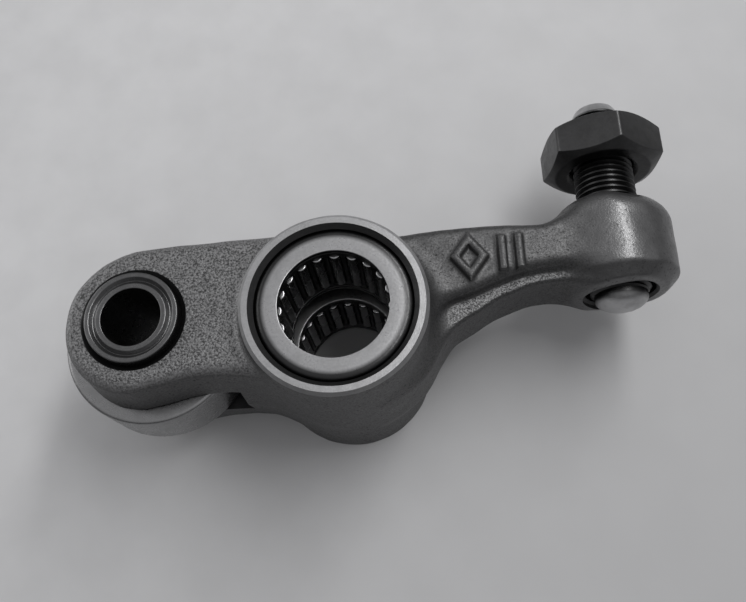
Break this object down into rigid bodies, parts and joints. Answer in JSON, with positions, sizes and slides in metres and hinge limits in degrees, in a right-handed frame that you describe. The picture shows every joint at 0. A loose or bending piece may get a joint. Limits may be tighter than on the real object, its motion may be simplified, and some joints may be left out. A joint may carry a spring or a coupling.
{
  "type": "roller rocker arm with needle roller bearings",
  "caption": "Forged rocker arm whose hub turns on drawn-cup needle roller bearings, with a cam roller in a fork at one end and a screw adjuster with a lock nut at the other.",
  "frame": {"origin": "centre of the bounding box's footprint, on the plane that the hub's lower face stands on; the hub's axis is at x = -3.95 mm, y = -10.05 mm", "axes": "+Z along the hub's bearing axis, towards the hub's marked side; +X from the fork end to the adjuster end; +Y along the adjuster screw, from its domed tip to its lock nut"},
  "size_m": [0.0772, 0.0414, 0.0288],
  "materials": {
    "forging": "shot-blasted forged steel with a fine grain",
    "cup": "smooth drawn steel",
    "cage": "dark pressed steel",
    "needle": "ground and polished",
    "roller": "ground and polished",
    "pin": "turned steel",
    "screw": "dark threaded steel",
    "nut": "black oxide"
  },
  "bodies": {
    "arm": {"rocker_arm": "forging", "upper_cup": "cup", "lower_cup": "cup", "roller_pin": "pin"},
    "upper_needle_set": {"upper_cage": "cage", "upper_needle_01": "needle", "upper_needle_02": "needle", "upper_needle_03": "needle", "upper_needle_04": "needle", "upper_needle_05": "needle", "upper_needle_06": "needle", "upper_needle_07": "needle", "upper_needle_08": "needle", "upper_needle_09": "needle", "upper_needle_10": "needle", "upper_needle_11": "needle", "upper_needle_12": "needle", "upper_needle_13": "needle", "upper_needle_14": "needle", "upper_needle_15": "needle", "upper_needle_16": "needle", "upper_needle_17": "needle", "upper_needle_18": "needle", "upper_needle_19": "needle", "upper_needle_20": "needle"},
    "lower_needle_set": {"lower_cage": "cage", "lower_needle_01": "needle", "lower_needle_02": "needle", "lower_needle_03": "needle", "lower_needle_04": "needle", "lower_needle_05": "needle", "lower_needle_06": "needle", "lower_needle_07": "needle", "lower_needle_08": "needle", "lower_needle_09": "needle", "lower_needle_10": "needle", "lower_needle_11": "needle", "lower_needle_12": "needle", "lower_needle_13": "needle", "lower_needle_14": "needle", "lower_needle_15": "needle", "lower_needle_16": "needle", "lower_needle_17": "needle", "lower_needle_18": "needle", "lower_needle_19": "needle", "lower_needle_20": "needle"},
    "roller": {"cam_roller": "roller"},
    "roller_needle_set": {"roller_cage": "cage", "roller_needle_01": "needle", "roller_needle_02": "needle", "roller_needle_03": "needle", "roller_needle_04": "needle", "roller_needle_05": "needle", "roller_needle_06": "needle", "roller_needle_07": "needle", "roller_needle_08": "needle", "roller_needle_09": "needle", "roller_needle_10": "needle"},
    "adjuster": {"adjuster_screw": "screw"},
    "nut": {"lock_nut": "nut"}
  },
  "joints": [
    {"name": "upper_cage_spin", "type": "hinge", "parent": "arm", "child": "upper_needle_set", "pos_m": [-0.00395, -0.01005, 0.0224], "axis": [0, 0, 1], "continuous": true},
    {"name": "lower_cage_spin", "type": "hinge", "parent": "arm", "child": "lower_needle_set", "pos_m": [-0.00395, -0.01005, 0.0064], "axis": [0, 0, 1], "continuous": true},
    {"name": "roller_spin", "type": "hinge", "parent": "arm", "child": "roller", "pos_m": [-0.02765, -0.00955, 0.0144], "axis": [0, 0, 1], "continuous": true},
    {"name": "roller_cage_spin", "type": "hinge", "parent": "arm", "child": "roller_needle_set", "pos_m": [-0.02765, -0.00955, 0.0144], "axis": [0, 0, 1], "continuous": true},
    {"name": "adjuster_slide", "type": "slide", "parent": "arm", "child": "adjuster", "axis": [0, -1, 0], "range_m": [-0.0025, 0.003]},
    {"name": "nut_slide", "type": "slide", "parent": "arm", "child": "nut", "axis": [0, -1, 0], "range_m": [-0.0015, 0.00565]}
  ],
  "couplings": [
    {"joint": "roller_cage_spin", "follows": "roller_spin", "ratio": 0.5946}
  ]
}
